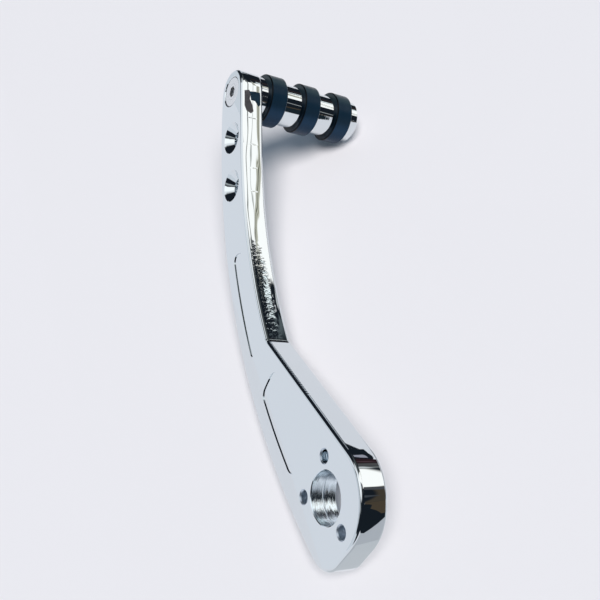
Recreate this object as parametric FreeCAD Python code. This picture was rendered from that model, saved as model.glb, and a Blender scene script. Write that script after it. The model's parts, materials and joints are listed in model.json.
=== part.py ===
import FreeCAD, Part
import math
import os

# Rear brake pedal: a bent plate lever that turns on a pivot bore and carries a toe peg with rubber rings.
# Millimetres. The origin is on the bore's axis at half the plate's thickness, +Y runs through the plate
# towards the peg, +Z runs up along the row of peg holes and +X points from that row towards the bore.

# Plate
plate_thickness = 12.0
edge_round = 1.5

# Pivot boss at the lower end
bore_diameter = 20.0
bore_outer_chamfer = 0.3
bore_inner_chamfer = 0.8
boss_radius = 22.3
toe_x = -1.5
toe_z = -15.0
toe_radius = 11.0

# Tapped holes round the bore
tapped_circle_radius = 15.0
tapped_angles = (90.0, 180.0, 310.0)
tapped_thread_diameter = 6.0
tapped_core_diameter = 5.0

# Lever between the boss and the peg holes
back_edge_radius = 273.0
shank_normal_angle = 50.0
elbow_radius = 1.5
front_edge_radius = 235.0
front_bend_z = 166.0

# Row of peg holes at the upper end
peg_row_x = -77.2
peg_top_z = 198.0
peg_hole_pitch = 25.4
peg_hole_count = 3
peg_hole_diameter = 8.4
countersink_diameter = 16.0
countersink_half_angle = 45.0
end_radius = 11.3

# Milled pockets in the outer face
pocket_depth = 0.4
pocket_front_rim = 6.5
lower_pocket_back_rim = 8.5
lower_pocket_inner_radius = 22.3
lower_pocket_outer_radius = 63.3
lower_pocket_corner = 4.5
upper_pocket_back_rim = 7.9
upper_pocket_inner_radius = 81.0
upper_pocket_top_z = 110.5
upper_pocket_corner = 2.0
upper_pocket_top_corner = 3.4

# Toe peg
peg_diameter = 21.4
peg_length = 60.0
peg_end_chamfer = 1.2
ring_outer_diameter = 26.0
ring_width = 9.5
ring_edge_chamfer = 0.5
ring_pitch = 20.0
ring_first_gap = 4.5
ring_names = ("ring_inner", "ring_middle", "ring_outer")
groove_depth = 1.6
ring_side_clearance = 0.05
ring_bore_clearance = 0.05

# Peg screw
screw_diameter = 8.0
screw_length = 35.0
screw_sink = 0.35
screw_seat_clearance = 0.05
screw_thread_clearance = 0.1
screw_tip_chamfer = 1.0
socket_across_flats = 5.0
socket_depth = 3.2
screw_hole_spare_depth = 4.0

outer_face_y = -plate_thickness / 2
inner_face_y = plate_thickness / 2
through_margin = 1.0
hexagon_sides = 6
same_place = 1e-6
axis_y = FreeCAD.Vector(0, 1, 0)


def heading(degrees):
    """Unit vector in the plate's plane, at an angle from +X towards +Z."""
    turn = math.radians(degrees)
    return FreeCAD.Vector(math.cos(turn), 0, math.sin(turn))


def flat(x, z):
    """Point in the plate's outer face."""
    return FreeCAD.Vector(x, outer_face_y, z)


def towards(start, end):
    """Unit vector from one point to another."""
    step = end - start
    return step / step.Length


def circles_meet(centre_a, radius_a, centre_b, radius_b, side):
    """Where two circles in the plate's plane cross, at the crossing that is nearer to a side point."""
    apart = (centre_b - centre_a).Length
    along = towards(centre_a, centre_b)
    across = FreeCAD.Vector(-along.z, 0, along.x)
    reach = (radius_a ** 2 - radius_b ** 2 + apart ** 2) / (2 * apart)
    height = math.sqrt(radius_a ** 2 - reach ** 2)
    foot = centre_a + along * reach
    crossings = (foot + across * height, foot - across * height)
    return min(crossings, key=lambda point: (point - side).Length)


def line_meets_circle(normal, distance, centre, radius, side):
    """Where the line normal . p = distance crosses a circle, at the crossing nearer to a side point."""
    offset = distance - normal.dot(centre)
    foot = centre + normal * offset
    along = FreeCAD.Vector(-normal.z, 0, normal.x)
    half = math.sqrt(radius ** 2 - offset ** 2)
    crossings = (foot + along * half, foot - along * half)
    return min(crossings, key=lambda point: (point - side).Length)


def line(start, end):
    """Straight edge between two points."""
    return Part.LineSegment(start, end).toShape()


def arc(centre, start, end):
    """Arc of less than half a turn round a centre, from one point to another."""
    radius = (start - centre).Length
    halfway = towards(centre, start) + towards(centre, end)
    middle = centre + halfway / halfway.Length * radius
    return Part.Arc(start, middle, end).toShape()


def prism(edges, depth):
    """Closed outline in the outer face, carried into the plate."""
    return Part.Face(Part.Wire(edges)).extrude(axis_y * depth)


def turned(profile):
    """Solid of revolution about the Y axis from corners given as (radius, depth below the outer face)."""
    corners = [FreeCAD.Vector(radius, depth, 0) for radius, depth in profile]
    outline = Part.makePolygon(corners + corners[:1])
    return Part.Face(outline).revolve(FreeCAD.Vector(0, 0, 0), axis_y, 360)


def moved(shape, point):
    """Copy of a turned shape carried to a point in the outer face."""
    copy = shape.copy()
    copy.translate(point)
    return copy


# The outline's circles: the boss round the bore, the toe below it, the round end at the top peg hole
# and the two long edges.
bore_centre = flat(0, 0)
toe_centre = flat(toe_x, toe_z)
end_centre = flat(peg_row_x, peg_top_z)
front_line_x = peg_row_x + end_radius
front_centre = flat(front_line_x + front_edge_radius, front_bend_z)
back_centre = circles_meet(
    end_centre, back_edge_radius - end_radius,
    toe_centre, back_edge_radius - toe_radius,
    flat(back_edge_radius, peg_top_z))
shank_normal = heading(shank_normal_angle)


def toe_normal():
    """Direction square to the line that touches both the boss and the toe on their front side."""
    step = toe_centre - bore_centre
    bearing = math.degrees(math.atan2(step.z, step.x))
    spread = math.degrees(math.acos((boss_radius - toe_radius) / step.Length))
    return heading(bearing + spread)


def arm_outline():
    """Outline of the plate, from the top of the front edge over the round end and down the back edge."""
    front_top = flat(front_line_x, peg_top_z)
    front_bend = flat(front_line_x, front_bend_z)
    end_back = end_centre + towards(back_centre, end_centre) * end_radius
    toe_back = toe_centre + towards(back_centre, toe_centre) * toe_radius
    toe_front = toe_centre + toe_normal() * toe_radius
    boss_toe = bore_centre + toe_normal() * boss_radius
    boss_shank = bore_centre + shank_normal * boss_radius
    elbow_centre = line_meets_circle(
        shank_normal, boss_radius + elbow_radius,
        front_centre, front_edge_radius - elbow_radius, front_bend)
    elbow_shank = elbow_centre - shank_normal * elbow_radius
    elbow_front = front_centre + towards(front_centre, elbow_centre) * front_edge_radius
    return [
        line(front_bend, front_top),
        arc(end_centre, front_top, end_back),
        arc(back_centre, end_back, toe_back),
        arc(toe_centre, toe_back, toe_front),
        line(toe_front, boss_toe),
        arc(bore_centre, boss_toe, boss_shank),
        line(boss_shank, elbow_shank),
        arc(elbow_centre, elbow_shank, elbow_front),
        arc(front_centre, elbow_front, front_bend),
    ]


def lies_in_face(edge, y):
    """True for an edge that lies wholly in a plane square to the bore."""
    box = edge.BoundBox
    return abs(box.YMin - y) < same_place and abs(box.YMax - y) < same_place


def plate():
    """Blank of the arm with its outer and inner edges rounded."""
    blank = prism(arm_outline(), plate_thickness)
    outer_rim = [edge for edge in blank.Edges if lies_in_face(edge, outer_face_y)]
    inner_rim = [edge for edge in blank.Edges if lies_in_face(edge, inner_face_y)]
    return blank.makeFillet(edge_round, outer_rim + inner_rim)


def rounded_corner(block, corner, radius):
    """Rounds the upright edge of a pocket's block that stands at a corner."""
    uprights = [edge for edge in block.Edges if not lies_in_face(edge, edge.BoundBox.YMin)]
    upright = min(uprights, key=lambda edge: edge.distToShape(Part.Vertex(corner))[0])
    return block.makeFillet(radius, [upright])


def lower_pocket():
    """Pocket between the boss and the elbow: its ends are arcs round the bore, its sides follow the edges."""
    inner_radius = lower_pocket_inner_radius
    outer_radius = lower_pocket_outer_radius
    back_radius = back_edge_radius - lower_pocket_back_rim
    front_distance = boss_radius - pocket_front_rim
    near_elbow = flat(peg_row_x, 0)
    inner_back = circles_meet(back_centre, back_radius, bore_centre, inner_radius, near_elbow)
    outer_back = circles_meet(back_centre, back_radius, bore_centre, outer_radius, near_elbow)
    above = flat(peg_row_x, peg_top_z)
    inner_front = line_meets_circle(shank_normal, front_distance, bore_centre, inner_radius, above)
    outer_front = line_meets_circle(shank_normal, front_distance, bore_centre, outer_radius, above)
    block = prism([
        arc(back_centre, inner_back, outer_back),
        arc(bore_centre, outer_back, outer_front),
        line(outer_front, inner_front),
        arc(bore_centre, inner_front, inner_back),
    ], pocket_depth)
    for corner in (inner_back, outer_back, outer_front, inner_front):
        block = rounded_corner(block, corner, lower_pocket_corner)
    return block


def upper_pocket():
    """Pocket above the elbow, between the two long edges, with a round top."""
    back_radius = back_edge_radius - upper_pocket_back_rim
    front_radius = front_edge_radius + pocket_front_rim
    level = FreeCAD.Vector(0, 0, 1)
    beside = flat(peg_row_x, upper_pocket_top_z)
    inner_back = circles_meet(back_centre, back_radius, bore_centre, upper_pocket_inner_radius, beside)
    inner_front = circles_meet(front_centre, front_radius, bore_centre, upper_pocket_inner_radius, beside)
    top_back = line_meets_circle(level, upper_pocket_top_z, back_centre, back_radius, beside)
    top_front = line_meets_circle(level, upper_pocket_top_z, front_centre, front_radius, beside)
    block = prism([
        arc(back_centre, inner_back, top_back),
        line(top_back, top_front),
        arc(front_centre, top_front, inner_front),
        arc(bore_centre, inner_front, inner_back),
    ], pocket_depth)
    for corner in (inner_back, inner_front):
        block = rounded_corner(block, corner, upper_pocket_corner)
    for corner in (top_back, top_front):
        block = rounded_corner(block, corner, upper_pocket_top_corner)
    return block


def through_hole(diameter, outer_chamfer, inner_chamfer):
    """Cutter for a hole right through the plate, with both rims chamfered."""
    radius = diameter / 2
    return turned([
        (0, -through_margin),
        (radius + outer_chamfer + through_margin, -through_margin),
        (radius, outer_chamfer),
        (radius, plate_thickness - inner_chamfer),
        (radius + inner_chamfer + through_margin, plate_thickness + through_margin),
        (0, plate_thickness + through_margin),
    ])


def peg_hole():
    """Cutter for a countersunk hole, its cone open to the outer face."""
    slope = math.tan(math.radians(countersink_half_angle))
    sink_radius = countersink_diameter / 2
    hole_radius = peg_hole_diameter / 2
    cone_depth = (sink_radius - hole_radius) / slope
    return turned([
        (0, -through_margin),
        (sink_radius + through_margin * slope, -through_margin),
        (hole_radius, cone_depth),
        (hole_radius, plate_thickness + through_margin),
        (0, plate_thickness + through_margin),
    ])


def pedal_arm():
    """The lever plate with its pockets, pivot bore, tapped holes and peg holes."""
    entry_chamfer = (tapped_thread_diameter - tapped_core_diameter) / 2
    tapped_hole = through_hole(tapped_core_diameter, entry_chamfer, entry_chamfer)
    pivot_bore = through_hole(bore_diameter, bore_outer_chamfer, bore_inner_chamfer)
    cutters = [lower_pocket(), upper_pocket(), moved(pivot_bore, bore_centre)]
    for angle in tapped_angles:
        cutters.append(moved(tapped_hole, bore_centre + heading(angle) * tapped_circle_radius))
    for step in range(peg_hole_count):
        cutters.append(moved(peg_hole(), flat(peg_row_x, peg_top_z - step * peg_hole_pitch)))
    return plate().cut(cutters)


def ring_start(step):
    """How far a ring's near side lies from the plate's outer face, along the peg."""
    return plate_thickness + ring_first_gap + step * ring_pitch


def peg_core():
    """Turned peg with a groove for each ring and a blind hole for the screw."""
    radius = peg_diameter / 2
    groove_radius = radius - groove_depth
    base = plate_thickness
    tip = base + peg_length
    corners = [(0, base), (radius, base)]
    for step in range(len(ring_names)):
        near = ring_start(step) - ring_side_clearance
        far = ring_start(step) + ring_width + ring_side_clearance
        corners += [(radius, near), (groove_radius, near), (groove_radius, far), (radius, far)]
    corners += [(radius, tip - peg_end_chamfer), (radius - peg_end_chamfer, tip), (0, tip)]
    hole_radius = screw_diameter / 2 + screw_thread_clearance
    hole_end = screw_sink + screw_length + screw_hole_spare_depth
    hole = Part.makeCylinder(hole_radius, hole_end - base, axis_y * base, axis_y)
    return moved(turned(corners).cut(hole), end_centre)


def grip_ring(step):
    """Rubber ring that sits in one groove of the peg, with its outer edges chamfered."""
    outer = ring_outer_diameter / 2
    inner = peg_diameter / 2 - groove_depth + ring_bore_clearance
    near = ring_start(step)
    far = near + ring_width
    rim = outer - ring_edge_chamfer
    profile = [(inner, near), (rim, near), (outer, near + ring_edge_chamfer)]
    profile += [(outer, far - ring_edge_chamfer), (rim, far), (inner, far)]
    return moved(turned(profile), end_centre)


def hex_socket():
    """Cutter for the screw's hexagon socket, from the outer face down into the head."""
    corner_radius = socket_across_flats / math.sqrt(3)
    corners = [heading(360 * step / hexagon_sides) * corner_radius for step in range(hexagon_sides + 1)]
    return Part.Face(Part.makePolygon(corners)).extrude(axis_y * (screw_sink + socket_depth))


def peg_screw():
    """Flat-head screw, its cone seated in the top countersink."""
    slope = math.tan(math.radians(countersink_half_angle))
    shank_radius = screw_diameter / 2
    head_radius = countersink_diameter / 2 - (screw_sink + screw_seat_clearance) * slope
    head_depth = (head_radius - shank_radius) / slope
    tip = screw_sink + screw_length
    body = turned([
        (0, screw_sink),
        (head_radius, screw_sink),
        (shank_radius, screw_sink + head_depth),
        (shank_radius, tip - screw_tip_chamfer),
        (shank_radius - screw_tip_chamfer, tip),
        (0, tip),
    ])
    return moved(body.cut(hex_socket()), end_centre)


os.makedirs("parts", exist_ok=True)
nodes = {"pedal_arm": pedal_arm(), "peg_core": peg_core(), "peg_screw": peg_screw()}
for step, name in enumerate(ring_names):
    nodes[name] = grip_ring(step)
for name, shape in nodes.items():
    shape.exportStep("parts/" + name + ".step")
    print(name, "valid", shape.isValid(), "solids", len(shape.Solids), "volume", round(shape.Volume, 1))
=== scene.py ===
"""Rear brake pedal: mirror plating, machined bore, cut threads, rubber rings and a table-top stage."""

import json
import math

import bpy
import numpy as np
from bpy.props import FloatProperty, FloatVectorProperty, IntProperty, PointerProperty
from mathutils import Matrix, Vector


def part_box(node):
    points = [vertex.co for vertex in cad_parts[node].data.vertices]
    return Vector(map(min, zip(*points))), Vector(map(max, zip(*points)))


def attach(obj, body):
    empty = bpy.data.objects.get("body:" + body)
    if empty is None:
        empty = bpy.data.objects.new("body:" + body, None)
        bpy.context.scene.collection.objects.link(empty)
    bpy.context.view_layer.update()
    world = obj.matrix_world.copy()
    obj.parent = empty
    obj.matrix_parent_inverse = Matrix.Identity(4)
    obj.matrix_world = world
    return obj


bl_info = {
    "name": "Rear brake pedal",
    "version": (1, 0, 0),
    "blender": (4, 5, 0),
    "location": "View3D > Sidebar > Pedal",
    "description": "Plating, machining marks, threads, rubber and a stage for the packed brake pedal",
    "category": "Object",
}

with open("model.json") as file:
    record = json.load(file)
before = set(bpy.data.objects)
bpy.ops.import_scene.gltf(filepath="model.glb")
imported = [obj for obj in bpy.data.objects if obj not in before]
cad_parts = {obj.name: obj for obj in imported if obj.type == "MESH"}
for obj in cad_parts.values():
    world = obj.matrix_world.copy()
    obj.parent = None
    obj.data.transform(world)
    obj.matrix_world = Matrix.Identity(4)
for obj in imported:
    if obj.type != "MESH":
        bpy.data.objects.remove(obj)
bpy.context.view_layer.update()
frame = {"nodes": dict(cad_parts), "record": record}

MM = 0.001
RING_NODES = ("ring_inner", "ring_middle", "ring_outer")
MOUNTS = {mount["name"]: mount for mount in frame["record"]["mounts"]}
FINISHES = {material["slot"]: material["base_color"] for material in frame["record"]["materials"]}
TAPPED_MOUNTS = ("tapped_hole_upper", "tapped_hole_back", "tapped_hole_front")

# What the plating mirrors, from the back of the room to its front: azimuth from the camera's side towards the
# right and elevation over the table, both as a range in degrees, how far the sides lean in azimuth for each
# degree of elevation, the softness of the sides and the colour.
PALE_WALL = (0.72, 0.76, 0.82)
WINDOW = (1.27, 1.24, 1.2)
MIRRORED_ROOM = (
    ((-172.0, -100.0), (-20.0, 11.0), 0.0, 3.0, PALE_WALL),
    ((-139.5, -100.0), (8.0, 40.0), 0.0, 1.5, PALE_WALL),
    ((-100.0, -50.0), (-20.0, 20.0), 0.0, 1.5, PALE_WALL),
    ((-118.0, -80.0), (22.0, 52.0), 0.0, 5.0, (0.56, 0.59, 0.64)),
    ((-140.0, -50.0), (59.5, 95.0), 0.0, 1.5, (1.22, 1.24, 1.25)),
    ((-76.0, -50.0), (45.0, 51.8), 0.0, 0.8, (0.36, 0.38, 0.39)),
    ((-76.0, -50.0), (52.5, 57.0), 0.0, 0.8, (0.12, 0.13, 0.135)),
    ((-142.0, -128.0), (36.0, 82.0), 0.0, 1.5, (0.95, 0.97, 1.0)),
    ((142.5, 160.0), (-3.0, 19.0), 0.0, 1.5, (0.62, 0.66, 0.72)),
    ((95.0, 140.0), (27.0, 70.0), 0.0, 4.0, (0.075, 0.085, 0.085)),
    ((110.5, 118.0), (2.0, 16.0), 0.0, 0.8, (0.032, 0.024, 0.024)),
    ((52.0, 78.0), (-4.0, 7.0), -3.0, 0.8, (0.065, 0.052, 0.038)),
    ((70.3, 74.0), (5.0, 9.0), 0.0, 0.8, (0.075, 0.078, 0.088)),
    ((59.5, 62.5), (3.2, 4.6), 0.0, 0.4, (0.060, 0.068, 0.080)),
    ((72.0, 98.0), (26.0, 86.0), 0.0, 0.8, WINDOW),
    ((77.5, 105.4), (6.3, 30.0), 0.43, 0.6, WINDOW),
    ((76.0, 93.0), (-8.0, 7.5), 0.0, 1.0, WINDOW),
    ((60.0, 104.5), (24.0, 24.9), 0.0, 0.25, (0.18, 0.19, 0.18)),
    ((60.0, 104.5), (19.5, 19.9), 0.0, 0.2, (0.45, 0.46, 0.44)),
    ((44.5, 52.5), (13.0, 19.6), -2.44, 0.8, (0.66, 0.64, 0.53)),
    ((47.4, 48.9), (11.5, 19.8), -2.44, 0.5, (0.12, 0.12, 0.09)),
    ((50.3, 51.0), (12.5, 19.0), -2.44, 0.4, (0.28, 0.27, 0.21)),
    ((45.2, 45.9), (13.0, 20.5), -2.44, 0.4, (0.34, 0.33, 0.27)),
    ((101.4, 105.0), (9.4, 15.5), 0.0, 0.4, (1.05, 1.12, 1.12)),
    ((105.4, 108.4), (8.8, 12.0), 0.0, 0.5, (0.10, 0.12, 0.13)),
    ((103.2, 106.2), (5.3, 7.2), 0.0, 0.4, (0.62, 0.63, 0.64)),
    ((103.2, 106.2), (3.8, 5.2), 0.0, 0.4, (0.15, 0.155, 0.155)),
    ((106.8, 111.2), (2.5, 6.5), 0.0, 0.6, (0.085, 0.083, 0.086)),
    ((112.0, 119.5), (-1.0, 5.0), 0.0, 0.8, (0.028, 0.014, 0.018)),
    ((113.2, 115.0), (1.6, 2.8), 0.0, 0.4, (0.085, 0.050, 0.060)),
    ((46.5, 48.5), (2.0, 9.0), 0.0, 0.5, (0.45, 0.46, 0.46)),
)

# Sheets that only the plating mirrors: the colour, and each corner's distance to the right, away from the
# camera and over the table in millimetres.
MIRRORED_SHEETS = {
    "near_brink": ((0.010, 0.014, 0.019), (
        (18, -69, 0.3), (18, -8000, 0.3), (8000, -8000, 0.3), (8000, -1400, 0.3), (90, -119, 0.3))),
    "far_brink": ((0.010, 0.014, 0.019), (
        (141, 134, 0.3), (8000, 4180, 0.3), (8000, 8000, 0.3), (3475, 8000, 0.3), (149.5, 156, 0.3))),
    "brown_mat": ((0.075, 0.055, 0.036), (
        (118, -146, 0.6), (300, -302, 0.6), (800, -672, 0.6), (6000, -4800, 0.6),
        (6000, -1075, 0.6), (140, -127, 0.6))),
    # A dark patch on the table round the peg's end, which only the plating mirrors.
    "peg_brink": ((0.012, 0.020, 0.026), (
        (72, 40, 0.3), (88, 104, 0.3), (93, 121, 0.3), (104, 120, 0.3), (118, 112, 0.3), (136, 93, 0.3),
        (168, 54, 0.3), (240, -30, 0.3), (560, -420, 0.3), (420, -420, 0.3))),
    # Painted shade: grey sheets over the table next to the boss stand for its shadow, which the toe mirrors.
    "outer_shade": ((0.50, 0.505, 0.53), (
        (-45, -110, 0.2), (90, -119, 0.2), (90, -46, 0.2), (-45, -46, 0.2))),
    "inner_shade": ((0.60, 0.605, 0.62), (
        (-45, -46, 0.2), (60, -46, 0.2), (20, -30, 0.2), (-45, -18, 0.2))),
    "grey_runner": ((0.35, 0.34, 0.39), (
        (420, 295, 0.6), (500, 334, 0.6), (1350, 785, 0.6), (1700, 1020, 0.6),
        (1050, 700, 0.6), (620, 440, 0.6))),
    "brown_card": ((0.22, 0.185, 0.17), (
        (149, 180, 115), (150, 183, 103), (149, 182, 98), (149, 178, 100), (149, 176, 93), (148, 173, 89),
        (148, 170, 95), (148, 169, 107), (148, 171, 113), (149, 176, 114))),
    "blue_card": ((0.040, 0.080, 0.11), (
        (149, 182, 103), (150, 185, 91), (150, 188, 78), (150, 185, 76), (149, 181, 75), (149, 179, 79),
        (149, 180, 87), (149, 178, 97), (149, 181, 99))),
    "pale_floor": ((0.815, 0.815, 0.845), (
        (-100, -8000, 0.3), (-100, 8000, 0.3), (-8000, 8000, 0.3), (-8000, -8000, 0.3))),
}

# The mirrored room's dark wall, its pale ceiling, and the elevations in degrees between which one becomes the
# other.
ROOM_WALL = (0.010, 0.014, 0.020)
ROOM_CEILING = (0.95, 0.97, 1.0)
CEILING_RISE = (58.0, 70.0)

# Tint of the even light, and the lamp's colour, width and bearing as parts to the right, away and up.
SKY_TINT = (0.66, 0.91, 1.16)
LAMP_COLOUR = (1.0, 0.965, 0.94)
LAMP_WIDTH = math.radians(34)
LAMP_BEARING = (0.11, -0.425, 0.905)

# Half the side of the table in millimetres.
TABLE_REACH = 8000

# Inner corner of the elbow as x and z in millimetres, the direction from the boss along the shank, and how
# far the normal leans where the shank's edge turns into the elbow's round.
ELBOW = (-43.2, 65.4)
SHANK_HEADING = math.radians(140)
ELBOW_LEAN = math.tan(math.radians(25))

# Radius of the plate's rounded rims, and the heights between which the upper arm's edges carry each kind of
# mark, all in millimetres.
EDGE_ROUND = 1.5
CROWN_RISE = (67.0, 85.0)
WAVE_SPAN = (95.0, 172.0)
MARK_SPAN = (68.0, 112.0)
SCORE_SPAN = (140.0, 190.0)
SCORE_START = 155.0
SCORE_PITCH = 12.6

# Stretch of the shank's rim with ticks, from the elbow in millimetres, and their phase for each millimetre.
TICK_SPAN = (-42.0, -3.0)
TICK_PHASE = 4.0

# How far bare metal reaches past the bore's radius, the radius of a tapped hole's rim and the seam's place
# along the bore, in millimetres, and the least roughness of dull and of bright threads.
BARE_MARGIN = 0.2
TAPPED_RIM = 3.05
SEAM_Y = -0.3
DULL_ROUGHNESS = 0.4
BRIGHT_ROUGHNESS = 0.05

# Room between a thread and its hole's wall in millimetres, and the rows of points in one turn of its rise.
THREAD_ROOM = 0.02
THREAD_ROWS = 10

# Dark line round the screw's head, and near-black painted shade on a grip ring's side and rim.
SCREW_LINE = (0.04, 0.05, 0.06)
RING_SHADE = (0.001, 0.002, 0.003)

# Zones of a grip ring: lifts between which the painted highlight on the upper side comes in, the painted
# bluish light on the underside goes and the side's painted shade grows paler, and the depths in millimetres
# of the painted shade at the rim. The count of depth starts a lead before the ring's side.
TOP_HIGHLIGHT_LIFT = (0.08, 0.45)
UNDERSIDE_LIGHT_LIFT = (-0.85, -0.5)
SIDE_SHADE_LIFT = (-0.7, 0.1)
RIM_SHADE_DEPTH = (0.1, 0.8)
DEPTH_LEAD = 1.0


def finish_colour(slot):
    """The record's base colour of a material slot, without its alpha."""
    return tuple(FINISHES[slot][:3])


def opaque(colour):
    """A colour of three parts with an alpha of 1, as colour sockets take it."""
    return (*colour, 1.0)


class PlatingSettings(bpy.types.PropertyGroup):
    """Mirror plating of the lever and the peg."""

    colour: FloatVectorProperty(
        name="Plating colour", description="What the plating reflects straight on",
        subtype="COLOR", size=3, min=0.0, max=1.0, default=finish_colour("plated_arm"))
    gloss: FloatProperty(
        name="Roughness", description="Roughness of a clean stretch of plating",
        subtype="FACTOR", min=0.0, max=1.0, default=0.01)
    smear: FloatProperty(
        name="Smears", description="Roughness that wiped patches add to the plating",
        subtype="FACTOR", min=0.0, max=1.0, default=0.02)
    ripple: FloatProperty(
        name="Edge ripple", description="Height of the polishing ripples along the upper arm's edges",
        unit="LENGTH", min=0.0, default=0.20 * MM)
    chatter: FloatProperty(
        name="Chatter", description="Height of the cross marks that the cutter left above the elbow",
        unit="LENGTH", min=0.0, default=0.10 * MM)
    crown: FloatProperty(
        name="Edge crown", description="How far polishing has crowned the upper arm's edges",
        unit="LENGTH", min=0.0, default=0.16 * MM)
    score: FloatProperty(
        name="Cross scores", description="Depth of the fine scores across the upper arm's edges",
        unit="LENGTH", min=0.0, default=0.03 * MM)
    tick: FloatProperty(
        name="Rim ticks", description="Height of the cutter's ticks along the shank's rim",
        unit="LENGTH", min=0.0, default=0.03 * MM)


class MachiningSettings(bpy.types.PropertyGroup):
    """Bare bore, tapped holes and peg screw."""

    bore_colour: FloatVectorProperty(
        name="Bare metal", description="Colour of the bored wall, which has no plating",
        subtype="COLOR", size=3, min=0.0, max=1.0, default=(0.73, 0.82, 0.88))
    tool_marks: FloatProperty(
        name="Tool marks", description="How far the boring tool's rings lean the bore's wall",
        min=0.0, default=0.85)
    seam: FloatProperty(
        name="Seam", description="Depth of the fine ring half way down the bore",
        unit="LENGTH", min=0.0, default=0.05 * MM)
    thread_colour: FloatVectorProperty(
        name="Thread colour", description="Dull metal of the tapped holes",
        subtype="COLOR", size=3, min=0.0, max=1.0, default=(0.64, 0.72, 0.80))
    thread_pitch: FloatProperty(
        name="Thread pitch", description="Rise of the tapped threads in one turn",
        unit="LENGTH", min=0.1 * MM, default=1.0 * MM)
    thread_depth: FloatProperty(
        name="Thread depth", description="How far a thread stands into its hole",
        unit="LENGTH", min=0.0, default=0.12 * MM)
    thread_steps: IntProperty(
        name="Steps per turn", description="Points round one turn of a thread", min=8, default=48)
    screw_colour: FloatVectorProperty(
        name="Screw colour", description="Satin steel of the peg screw",
        subtype="COLOR", size=3, min=0.0, max=1.0, default=(0.80, 0.81, 0.82))


class RubberSettings(bpy.types.PropertyGroup):
    """Moulded grip rings."""

    colour: FloatVectorProperty(
        name="Rubber colour", description="Blue-black of the grip rings",
        subtype="COLOR", size=3, min=0.0, max=1.0, default=(0.005, 0.0175, 0.033))
    dust: FloatVectorProperty(
        name="Dust", description="Colour of the rubber where dust lies on it",
        subtype="COLOR", size=3, min=0.0, max=1.0, default=(0.0075, 0.0215, 0.038))
    # Painted highlight: greyer colour on the upper side.
    top_highlight: FloatVectorProperty(
        name="Painted top highlight", description="Greyer colour painted on the upper side as a highlight",
        subtype="COLOR", size=3, min=0.0, max=1.0, default=(0.034, 0.055, 0.067))
    # Painted light: bluish colour on the underside.
    underside_light: FloatVectorProperty(
        name="Painted underside light", description="Bluish light painted on the underside",
        subtype="COLOR", size=3, min=0.0, max=1.0, default=(0.009, 0.032, 0.068))
    grain: FloatProperty(
        name="Grain", description="Height of the rubber's moulded grain",
        unit="LENGTH", min=0.0, default=0.03 * MM)


class StageSettings(bpy.types.PropertyGroup):
    """Table, light, mirrored room and camera."""

    table_colour: FloatVectorProperty(
        name="Table colour", description="Pale surface that the pedal lies on",
        subtype="COLOR", size=3, min=0.0, max=1.0, default=(0.82, 0.805, 0.828))
    table_normal: FloatVectorProperty(
        name="Table normal", description="Upward direction of the table in the pedal's frame",
        subtype="DIRECTION", size=3, default=(0.58593, -0.71092, 0.38895))
    table_drop: FloatProperty(
        name="Table drop", description="How far the table lies below the bore's centre",
        unit="LENGTH", min=0.0, default=21.9 * MM)
    sky: FloatProperty(
        name="Sky light", description="Even light from all round", min=0.0, default=0.22)
    key: FloatProperty(
        name="Key light", description="Strength of the soft lamp over the table", min=0.0, default=3.0)
    focal: FloatProperty(
        name="Focal length", description="Lens of the camera, for a 36 mm sensor",
        unit="CAMERA", min=1.0, default=44.5956)
    camera_place: FloatVectorProperty(
        name="Camera place", description="Where the lens stands in the pedal's frame",
        subtype="TRANSLATION", size=3, default=(0.234621, -0.159455, 0.012019))
    camera_azimuth: FloatProperty(
        name="Azimuth", description="Turn of the camera about the pedal's Z axis from its front",
        subtype="ANGLE", default=math.radians(58.392))
    camera_elevation: FloatProperty(
        name="Elevation", description="Angle of the camera over the pedal's XY plane",
        subtype="ANGLE", default=math.radians(-12.503))
    camera_roll: FloatProperty(
        name="Roll", description="Turn of the camera about its own line of sight",
        subtype="ANGLE", default=math.radians(1.131))


class Signal:
    """One shader output. Python's operators on it add Math nodes and give the result's output."""

    def __init__(self, graph, socket):
        self.graph = graph
        self.socket = socket

    def maths(self, operation, *operands):
        """One Math node with this signal first."""
        return self.graph.maths(operation, self, *operands)

    def __add__(self, other):
        return self.graph.maths("ADD", self, other)

    def __radd__(self, other):
        return self.graph.maths("ADD", other, self)

    def __sub__(self, other):
        return self.graph.maths("SUBTRACT", self, other)

    def __rsub__(self, other):
        return self.graph.maths("SUBTRACT", other, self)

    def __mul__(self, other):
        return self.graph.maths("MULTIPLY", self, other)

    def __rmul__(self, other):
        return self.graph.maths("MULTIPLY", other, self)

    def __truediv__(self, other):
        return self.graph.maths("DIVIDE", self, other)

    def __neg__(self):
        return self.graph.maths("MULTIPLY", self, -1.0)

    def __abs__(self):
        return self.graph.maths("ABSOLUTE", self)


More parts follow.
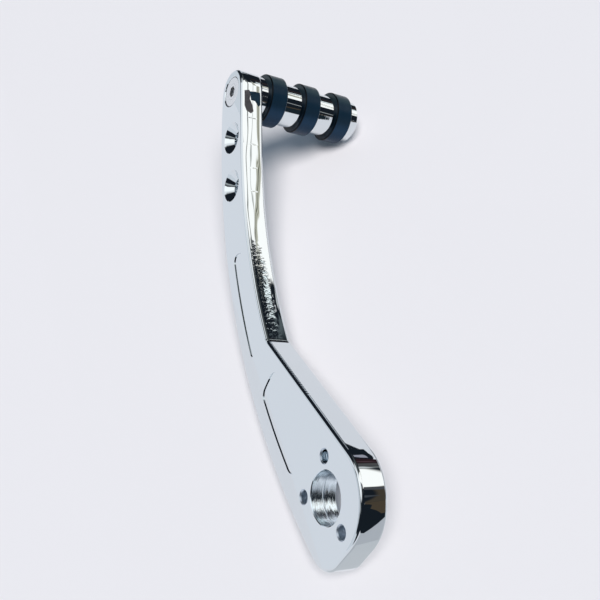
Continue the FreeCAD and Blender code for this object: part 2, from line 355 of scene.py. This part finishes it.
class Graph:
    """A node tree that is built from expressions."""

    def __init__(self, tree):
        self.tree = tree
        tree.nodes.clear()

    def add(self, kind, settings=None, inputs=None, output=0):
        """Adds a node: its settings first, then values or signals for its sockets. Gives one output as a
        signal."""
        node = self.tree.nodes.new(kind)
        for key, value in (settings or {}).items():
            setattr(node, key, value)
        for key, value in (inputs or {}).items():
            if isinstance(value, Signal):
                self.tree.links.new(value.socket, node.inputs[key])
            else:
                node.inputs[key].default_value = value
        return Signal(self, node.outputs[output] if node.outputs else None)

    def maths(self, operation, *operands):
        """One Math node on numbers and signals."""
        return self.add("ShaderNodeMath", {"operation": operation}, dict(enumerate(operands)))

    def rise(self, signal, low, high):
        """0 up to low, 1 from high on, and a smooth step between."""
        return self.add(
            "ShaderNodeMapRange", {"interpolation_type": "SMOOTHSTEP"},
            {"Value": signal, "From Min": low, "From Max": high})

    def between(self, signal, low, high, soft):
        """1 from low to high with soft sides, and 0 outside."""
        return self.rise(signal, low - soft, low + soft) * (1 - self.rise(signal, high - soft, high + soft))

    def blend(self, factor, first, second):
        """Colour mix from first at 0 to second at 1."""
        return self.add("ShaderNodeMix", {"data_type": "RGBA"}, {0: factor, 6: first, 7: second}, output=2)

    def dot(self, vector, direction):
        """Length of a vector along a fixed direction."""
        inputs = {0: vector, 1: direction}
        return self.add("ShaderNodeVectorMath", {"operation": "DOT_PRODUCT"}, inputs, output="Value")

    def noise(self, point, stretch, detail=2.0):
        """Cloudy noise from 0 to 1 with stretch cells to the millimetre along each axis."""
        place = self.vector("MULTIPLY", point, stretch)
        return self.add("ShaderNodeTexNoise", None, {"Vector": place, "Scale": 1.0, "Detail": detail})

    def scaled(self, vector, factor):
        """A vector made longer by a factor."""
        return self.add("ShaderNodeVectorMath", {"operation": "SCALE"}, {0: vector, "Scale": factor})

    def millimetres(self):
        """The surface point in the pedal's frame, in millimetres."""
        return self.scaled(self.add("ShaderNodeTexCoord", output="Object"), 1 / MM)

    def parts(self, point, axes="XYZ"):
        """The named coordinates of a point, one signal for each letter."""
        return [self.add("ShaderNodeSeparateXYZ", None, {0: point}, output=axis) for axis in axes]

    def distance(self, x, z, centre):
        """Distance of (x, z) from a centre, both in millimetres: the square root of the summed squares."""
        across = x - centre[0]
        along = z - centre[1]
        return (across * across + along * along).maths("SQRT")

    def vector(self, operation, *operands):
        """One Vector Math node on vectors and signals."""
        return self.add("ShaderNodeVectorMath", {"operation": operation}, dict(enumerate(operands)))

    def leaned(self, amount):
        """The surface's normal leaned round the Y axis: the normal plus an amount of its cross product with
        Y."""
        normal = self.add("ShaderNodeNewGeometry", output="Normal")
        side = self.vector("CROSS_PRODUCT", normal, (0.0, 1.0, 0.0))
        return self.vector("NORMALIZE", self.vector("ADD", normal, self.scaled(side, amount)))

    def bump(self, height, distance, normal=None):
        """Normal of a surface raised by height times distance."""
        inputs = {"Strength": 1.0, "Distance": distance, "Height": height}
        if normal is not None:
            inputs["Normal"] = normal
        return self.add("ShaderNodeBump", None, inputs)


def material_graph(name):
    """A new material with an empty graph."""
    material = bpy.data.materials.new(name)
    material.use_nodes = True
    return material, Graph(material.node_tree)


def metal(graph, colour, roughness, normal):
    """Ends a graph in a metal surface."""
    surface = graph.add("ShaderNodeBsdfPrincipled", None, {
        "Base Color": colour, "Roughness": roughness, "Metallic": 1.0, "Normal": normal})
    graph.add("ShaderNodeOutputMaterial", None, {"Surface": surface})


def dress(node, material):
    """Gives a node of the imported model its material."""
    slots = frame["nodes"][node].data.materials
    slots.clear()
    slots.append(material)


def plated_smears(graph, point, settings):
    """Roughness of the plating: its gloss, and more in wiped, cloudy patches."""
    patches = graph.rise(graph.noise(point, (0.03, 0.03, 0.03), 4.0), 0.45, 0.75)
    return patches * settings.smear + settings.gloss


def near_mount(graph, x, z, name, reach):
    """1 within a reach in millimetres of a mount's axis, which is parallel to Y, and 0 outside."""
    place = MOUNTS[name]["pos_m"]
    radius = graph.distance(x, z, (place[0] / MM, place[2] / MM))
    return 1 - graph.rise(radius, reach - 0.05, reach + 0.05)


def edge_height(graph, point, parts, plating):
    """Height of the polished edges in metres: a crown, long waves and cross scores on the upper arm, cutter
    marks over the elbow and ticks along the shank's rim. The crown is a parabola across the edge, which is 0
    where the edge's rounds begin, and the scores and ticks repeat evenly along the arm."""
    x, y, z = parts
    half = abs(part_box("pedal_arm")[0].y) / MM
    flat = half - EDGE_ROUND
    flank = 1 - graph.rise(abs(y), flat - 0.1, flat + 1.1)
    crown = (1 - y * y / flat ** 2).maths("MAXIMUM", 0.0) * graph.rise(z, *CROWN_RISE)
    waves = graph.noise(point, (0.04, 0.16, 0.04), 0.5) * graph.between(z, *WAVE_SPAN, 10.0)
    marks = graph.noise(point, (0.45, 0.3, 0.45), 3.0) * graph.between(z, *MARK_SPAN, 5.0)
    marks = marks * (1 - graph.rise(y, 0.5, 3.5))
    repeats = (z + waves * 4.0 - SCORE_START) / SCORE_PITCH
    scores = 1 - graph.rise(repeats.maths("PINGPONG", 0.5), 0.0, 0.035)
    scores = scores * graph.between(z, *SCORE_SPAN, 3.0) * (1 - graph.rise(abs(y), 1.0, 2.6))
    raised = waves * plating.ripple + marks * plating.chatter + crown * plating.crown - scores * plating.score
    along = shank_reach(x, z)
    rim = graph.between(-y, flat, half - 0.7, 0.1) * graph.between(along, *TICK_SPAN, 1.0)
    return raised * flank + (along * TICK_PHASE).maths("SINE") * rim * plating.tick


def shank_reach(x, z):
    """Distance past the elbow's inner corner in millimetres, measured along the shank: negative on the boss's
    side."""
    return (x - ELBOW[0]) * math.cos(SHANK_HEADING) + (z - ELBOW[1]) * math.sin(SHANK_HEADING)


def elbow_corner(graph, x, z):
    """1 where the shank's edge meets the elbow's round, falling to 0 over 2.6 mm of the shank and over the
    round."""
    along = shank_reach(x, z)
    near = 1 - graph.rise(graph.distance(x, z, ELBOW), 4.0, 4.5)
    return graph.rise(along, -2.8, -0.2) * (1 - graph.rise(along, -0.2, 0.4)) * near


def arm_material(plating, machining):
    """Plating with polished edges, bare metal with tool rings in the bore and dull metal in the tapped
    holes."""
    material, graph = material_graph("plated_arm")
    point = graph.millimetres()
    x, y, z = graph.parts(point)
    bore = near_mount(graph, x, z, "pivot_bore", MOUNTS["pivot_bore"]["dims"]["r_mm"] + BARE_MARGIN)
    dull = sum(near_mount(graph, x, z, name, TAPPED_RIM) for name in TAPPED_MOUNTS)
    rings = graph.noise(point, (0.12, 7.0, 0.12), 4.0)
    seam = (1 - graph.rise(abs(y - SEAM_Y), 0.1, 0.4)) * bore
    roughness = plated_smears(graph, point, plating) + bore * (rings * 0.12 + 0.06) + dull * DULL_ROUGHNESS
    colour = graph.blend(bore, opaque(plating.colour), opaque(machining.bore_colour))
    colour = graph.blend(dull, colour, opaque(machining.thread_colour))
    height = edge_height(graph, point, (x, y, z), plating) - seam * machining.seam
    elbow = elbow_corner(graph, x, z) * ELBOW_LEAN
    leaned = graph.leaned((rings - 0.5) * bore * machining.tool_marks - elbow)
    metal(graph, colour, roughness, graph.bump(height, 1.0, leaned))
    return material


def peg_material(plating):
    """Plating with faint turning rings round the peg's axis."""
    material, graph = material_graph("plated_peg")
    point = graph.millimetres()
    turning = graph.noise(point, (0.02, 1.6, 0.02), 2.0)
    roughness = plated_smears(graph, point, plating)
    metal(graph, opaque(plating.colour), roughness, graph.bump(turning, 0.01 * MM))
    return material


def screw_material(machining):
    """Satin steel with rings round the screw's axis from its facing cut and a dark line round the head."""
    material, graph = material_graph("screw_steel")
    point = graph.millimetres()
    x, z = graph.parts(point, "XZ")
    low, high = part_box("peg_screw")
    centre = ((low.x + high.x) / 2 / MM, (low.z + high.z) / 2 / MM)
    radius = graph.distance(x, z, centre)
    head = (high.x - low.x) / 2 / MM
    rim = graph.rise(radius, head - 0.5, head - 0.2)
    turned = graph.between(radius, head * 0.52, head * 0.55, 0.15)
    dark = rim * 0.85 + turned * 0.3
    colour = graph.blend(dark, opaque(machining.screw_colour), opaque(SCREW_LINE))
    rings = (radius * 14.0).maths("SINE")
    cloud = graph.noise(point, (0.5, 0.5, 0.5), 3.0)
    metal(graph, colour, cloud * 0.12 + 0.1, graph.bump(rings, 0.003 * MM))
    return material


def ring_place(y, z):
    """Lift and depth on a grip ring. The lift runs from -1 at its lowest point to 1 at its highest. The depth
    is the distance in from the side that faces the lever, in millimetres, and repeats with the rings'
    pitch."""
    low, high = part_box("ring_middle")
    lift = (z - (low.z + high.z) / 2 / MM) / ((high.z - low.z) / 2 / MM)
    pitch = (low.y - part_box("ring_inner")[0].y) / MM
    depth = ((y - low.y / MM + DEPTH_LEAD) / pitch).maths("FRACT") * pitch - DEPTH_LEAD
    return lift, depth


def rubber_material(rubber):
    """Moulded rubber with fine grain and a little pale dust in patches, a painted highlight on the upper
    side and painted bluish light on the underside. The side that faces the lever carries painted shade,
    most of all low down and at its rim."""
    material, graph = material_graph("grip_rubber")
    point = graph.millimetres()
    lift, depth = ring_place(*graph.parts(point, "YZ"))
    # Painted shade: the side that faces the lever is darkened, most low down, with a near-black painted line
    # at its rim.
    side = (1 - graph.rise(depth, 0.02, 0.1)) * (0.8 - graph.rise(lift, *SIDE_SHADE_LIFT) * 0.5)
    shaded = side + graph.between(depth, *RIM_SHADE_DEPTH, 0.08)
    grain = graph.noise(point, (2.2, 2.2, 2.2), 4.0)
    dust = graph.rise(graph.noise(point, (0.16, 0.16, 0.16), 5.0), 0.5, 0.8)
    colour = graph.blend(dust, opaque(rubber.colour), opaque(rubber.dust))
    # Painted highlight greys the upper side; painted bluish light colours the underside.
    colour = graph.blend(graph.rise(lift, *TOP_HIGHLIGHT_LIFT), colour, opaque(rubber.top_highlight))
    colour = graph.blend(1 - graph.rise(lift, *UNDERSIDE_LIGHT_LIFT), colour, opaque(rubber.underside_light))
    colour = graph.blend(shaded, colour, opaque(RING_SHADE))
    surface = graph.add("ShaderNodeBsdfPrincipled", None, {
        "Base Color": colour, "Roughness": grain * 0.2 + 0.2, "Specular IOR Level": 0.12,
        "Normal": graph.bump(grain, rubber.grain)})
    graph.add("ShaderNodeOutputMaterial", None, {"Surface": surface})
    return material


def thread_material(name, colour, roughness):
    """Cut thread with fine torn marks."""
    material, graph = material_graph(name)
    cuts = graph.noise(graph.millimetres(), (1.5, 1.5, 1.5), 3.0)
    metal(graph, opaque(colour), cuts * 0.2 + roughness, graph.bump(cuts, 0.01 * MM))
    return material


def grid_faces(rows, columns):
    """Quads of a grid whose columns close into a ring."""
    row, column = np.meshgrid(np.arange(rows - 1), np.arange(columns), indexing="ij")
    start = row * columns + column
    along = row * columns + (column + 1) % columns
    return np.stack([start, along, along + columns, start + columns], axis=-1).reshape(-1, 4)


def grid_piece(name, points, faces):
    """A smooth mesh piece from numpy points and quads."""
    mesh = bpy.data.meshes.new(name)
    mesh.from_pydata(points.tolist(), [], faces.tolist())
    mesh.shade_smooth()
    piece = bpy.data.objects.new(name, mesh)
    bpy.context.scene.collection.objects.link(piece)
    return piece


def thread_points(mount, machining):
    """Helical thread on a grid of height by turn: the radius is the hole's, less a ridge that falls and rises
    evenly once in each pitch, climbs by one pitch in each turn and fades out at both ends."""
    wall = (mount["dims"]["r_mm"] - THREAD_ROOM) * MM
    half = mount["dims"]["length_mm"] * MM / 2
    pitch = machining.thread_pitch
    height = np.linspace(-half, half, int(2 * half / pitch) * THREAD_ROWS + 1)[:, None]
    turn = np.linspace(0, 2 * math.pi, machining.thread_steps, endpoint=False)[None, :]
    phase = (height / pitch - turn / (2 * math.pi)) % 1.0
    ridge = np.abs(2 * phase - 1)
    fade = np.clip((half - np.abs(height)) / pitch - 0.5, 0, 1)
    radius = wall - machining.thread_depth * ridge * fade
    x = mount["pos_m"][0] + radius * np.cos(turn)
    z = mount["pos_m"][2] + radius * np.sin(turn)
    y = mount["pos_m"][1] + np.broadcast_to(height, x.shape)
    return np.stack([x, y, z], axis=-1).reshape(-1, 3), x.shape


class PEDAL_OT_plate_arm(bpy.types.Operator):
    """Plates the lever and leaves its bore bare"""

    bl_idname = "pedal.plate_arm"
    bl_label = "Plate the lever"

    def execute(self, context):
        dress("pedal_arm", arm_material(context.scene.pedal_plating, context.scene.pedal_machining))
        return {"FINISHED"}


class PEDAL_OT_plate_peg(bpy.types.Operator):
    """Plates the toe peg"""

    bl_idname = "pedal.plate_peg"
    bl_label = "Plate the peg"

    def execute(self, context):
        dress("peg_core", peg_material(context.scene.pedal_plating))
        return {"FINISHED"}


class PEDAL_OT_face_screw(bpy.types.Operator):
    """Gives the peg screw its satin, faced finish"""

    bl_idname = "pedal.face_screw"
    bl_label = "Face the screw"

    def execute(self, context):
        dress("peg_screw", screw_material(context.scene.pedal_machining))
        return {"FINISHED"}


class PEDAL_OT_mould_rings(bpy.types.Operator):
    """Gives the grip rings their moulded rubber"""

    bl_idname = "pedal.mould_rings"
    bl_label = "Mould the rings"

    def execute(self, context):
        rubber = rubber_material(context.scene.pedal_rubber)
        for node in RING_NODES:
            dress(node, rubber)
        return {"FINISHED"}


class PEDAL_OT_cut_threads(bpy.types.Operator):
    """Cuts a thread into each tapped hole round the bore"""

    bl_idname = "pedal.cut_threads"
    bl_label = "Cut the threads"

    def execute(self, context):
        machining = context.scene.pedal_machining
        bright = thread_material("bright_thread", machining.bore_colour, BRIGHT_ROUGHNESS)
        dull = thread_material("dull_thread", machining.thread_colour, DULL_ROUGHNESS)
        for name in TAPPED_MOUNTS:
            points, shape = thread_points(MOUNTS[name], machining)
            thread = grid_piece("thread_" + name, points, grid_faces(*shape))
            thread.data.materials.append(bright if name == "tapped_hole_upper" else dull)
            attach(thread, "root")
        return {"FINISHED"}


def table_axes(stage):
    """The table's right, away and up directions in the pedal's frame, with the camera on the near side."""
    up = Vector(stage.table_normal).normalized()
    back = camera_back(stage)
    near = (back - up * back.dot(up)).normalized()
    right = up.cross(near)
    return right, -near, up


def camera_back(stage):
    """Direction from the pedal to the camera, from its azimuth and elevation."""
    level = math.cos(stage.camera_elevation)
    return Vector((
        math.sin(stage.camera_azimuth) * level,
        -math.cos(stage.camera_azimuth) * level,
        math.sin(stage.camera_elevation)))


def table_sheet(stage, name, corners, material):
    """A flat sheet whose corners are distances right, away and up from the table's point under the bore, in
    millimetres: the point is their sum along those three directions."""
    axes = np.array(table_axes(stage))
    points = np.array(corners) * MM @ axes - axes[2] * stage.table_drop
    sheet = grid_piece(name, points, np.arange(len(corners)).reshape(1, -1))
    sheet.data.materials.append(material)
    return sheet


def table_material(stage):
    """Pale matt table, which a camera below it looks through."""
    material, graph = material_graph("pale_table")
    surface = graph.add("ShaderNodeBsdfPrincipled", None, {
        "Base Color": opaque(stage.table_colour), "Roughness": 0.7, "Specular IOR Level": 0.1})
    below = graph.add("ShaderNodeNewGeometry", output="Backfacing")
    seen = graph.add("ShaderNodeLightPath", output="Is Camera Ray")
    clear = graph.add("ShaderNodeBsdfTransparent")
    mixed = graph.add("ShaderNodeMixShader", None, {0: below * seen, 1: surface, 2: clear})
    graph.add("ShaderNodeOutputMaterial", None, {"Surface": mixed})
    return material


def dull_material(name, colour):
    """Dull sheet, for what lies beyond the table, for painted shade on the table next to the boss and for a
    dark patch round the peg's end.
    """
    material, graph = material_graph(name)
    surface = graph.add("ShaderNodeBsdfDiffuse", None, {"Color": opaque(colour)})
    graph.add("ShaderNodeOutputMaterial", None, {"Surface": surface})
    return material


def only_mirrored(sheet):
    """Shows a stage piece in reflections alone, with no shadow."""
    sheet.visible_camera = False
    sheet.visible_diffuse = False
    sheet.visible_transmission = False
    sheet.visible_shadow = False


def build_world(stage):
    """Even pale light, a pale backdrop for the camera, and for reflections a room with a window."""
    world = bpy.data.worlds.new("studio")
    world.use_nodes = True
    bpy.context.scene.world = world
    graph = Graph(world.node_tree)
    right, away, up = table_axes(stage)
    direction = graph.add("ShaderNodeTexCoord", output="Generated")
    elevation = graph.dot(direction, up).maths("ARCSINE") * math.degrees(1)
    azimuth = graph.dot(direction, right).maths("ARCTAN2", graph.dot(direction, -away)) * math.degrees(1)
    room = graph.blend(graph.rise(elevation, *CEILING_RISE), opaque(ROOM_WALL), opaque(ROOM_CEILING))
    for across, height, lean, soft, colour in MIRRORED_ROOM:
        bearing = azimuth + elevation * lean if lean else azimuth
        card = graph.between(bearing, *across, soft) * graph.between(elevation, *height, soft)
        room = graph.blend(card, room, opaque(colour))
    scattered = graph.add("ShaderNodeLightPath", output="Diffuse Depth").maths("MINIMUM", 1.0)
    mirrored = graph.add("ShaderNodeLightPath", output="Is Glossy Ray") * (1 - scattered)
    seen = graph.add("ShaderNodeLightPath", output="Is Camera Ray")
    sky = [part * stage.sky for part in SKY_TINT]
    colour = graph.blend(mirrored, opaque(sky), room)
    colour = graph.blend(seen, colour, opaque(stage.table_colour))
    background = graph.add("ShaderNodeBackground", None, {"Color": colour, "Strength": 1.0})
    graph.add("ShaderNodeOutputWorld", None, {"Surface": background})


def build_lamp(stage):
    """A soft lamp high over the near side of the table, which the plating doesn't mirror."""
    right, away, up = table_axes(stage)
    light = bpy.data.lights.new("key_lamp", "SUN")
    light.energy = stage.key
    light.angle = LAMP_WIDTH
    light.color = LAMP_COLOUR
    lamp = bpy.data.objects.new("key_lamp", light)
    source = right * LAMP_BEARING[0] + away * LAMP_BEARING[1] + up * LAMP_BEARING[2]
    lamp.rotation_mode = "QUATERNION"
    lamp.rotation_quaternion = source.to_track_quat("Z", "Y")
    lamp.visible_glossy = False
    bpy.context.scene.collection.objects.link(lamp)


def build_camera(stage):
    """Camera at the photograph's place, turned by azimuth, elevation and roll."""
    data = bpy.data.cameras.new("camera")
    data.sensor_fit = "HORIZONTAL"
    data.sensor_width = 36.0
    data.lens = stage.focal
    data.clip_start = 0.01
    camera = bpy.data.objects.new("camera", data)
    back = camera_back(stage)
    level_right = (-back).cross(Vector((0, 0, 1))).normalized()
    level_up = back.cross(level_right)
    up = level_up * math.cos(stage.camera_roll) + level_right * math.sin(stage.camera_roll)
    axes = Matrix((up.cross(back), up, back)).transposed()
    camera.matrix_world = Matrix.Translation(stage.camera_place) @ axes.to_4x4()
    bpy.context.scene.collection.objects.link(camera)
    bpy.context.scene.camera = camera


class PEDAL_OT_set_stage(bpy.types.Operator):
    """Lays the pedal on its table, lights it and sets the camera"""

    bl_idname = "pedal.set_stage"
    bl_label = "Set the stage"

    def execute(self, context):
        stage = context.scene.pedal_stage
        far = TABLE_REACH
        square = [(-far, -far, 0), (far, -far, 0), (far, far, 0), (-far, far, 0)]
        table_sheet(stage, "table", square, table_material(stage))
        for name, (colour, corners) in MIRRORED_SHEETS.items():
            only_mirrored(table_sheet(stage, name, corners, dull_material(name, colour)))
        build_world(stage)
        build_lamp(stage)
        build_camera(stage)
        context.scene.view_settings.view_transform = "Standard"
        return {"FINISHED"}


class PEDAL_PT_sidebar(bpy.types.Panel):
    """Lists the pedal's settings and building steps"""

    bl_idname = "PEDAL_PT_sidebar"
    bl_label = "Rear brake pedal"
    bl_space_type = "VIEW_3D"
    bl_region_type = "UI"
    bl_category = "Pedal"

    def draw(self, context):
        for settings in SETTINGS:
            group = getattr(context.scene, settings)
            box = self.layout.box()
            for key in group.bl_rna.properties.keys():
                if key not in ("rna_type", "name"):
                    box.prop(group, key)
        for operator in OPERATORS:
            self.layout.operator(operator.bl_idname)


SETTINGS = {
    "pedal_plating": PlatingSettings,
    "pedal_machining": MachiningSettings,
    "pedal_rubber": RubberSettings,
    "pedal_stage": StageSettings,
}
OPERATORS = (
    PEDAL_OT_plate_arm,
    PEDAL_OT_plate_peg,
    PEDAL_OT_face_screw,
    PEDAL_OT_mould_rings,
    PEDAL_OT_cut_threads,
    PEDAL_OT_set_stage,
)


def register():
    """Registers the settings, the operators and the panel."""
    for name, group in SETTINGS.items():
        bpy.utils.register_class(group)
        setattr(bpy.types.Scene, name, PointerProperty(type=group))
    for operator in OPERATORS:
        bpy.utils.register_class(operator)
    bpy.utils.register_class(PEDAL_PT_sidebar)


def unregister():
    """Takes the panel, the operators and the settings out again."""
    bpy.utils.unregister_class(PEDAL_PT_sidebar)
    for operator in reversed(OPERATORS):
        bpy.utils.unregister_class(operator)
    for name, group in reversed(SETTINGS.items()):
        delattr(bpy.types.Scene, name)
        bpy.utils.unregister_class(group)


def main():
    """Builds every piece."""
    register()
    bpy.ops.pedal.plate_arm()
    bpy.ops.pedal.plate_peg()
    bpy.ops.pedal.face_screw()
    bpy.ops.pedal.mould_rings()
    bpy.ops.pedal.cut_threads()
    bpy.ops.pedal.set_stage()


if __name__ == "__main__":
    main()
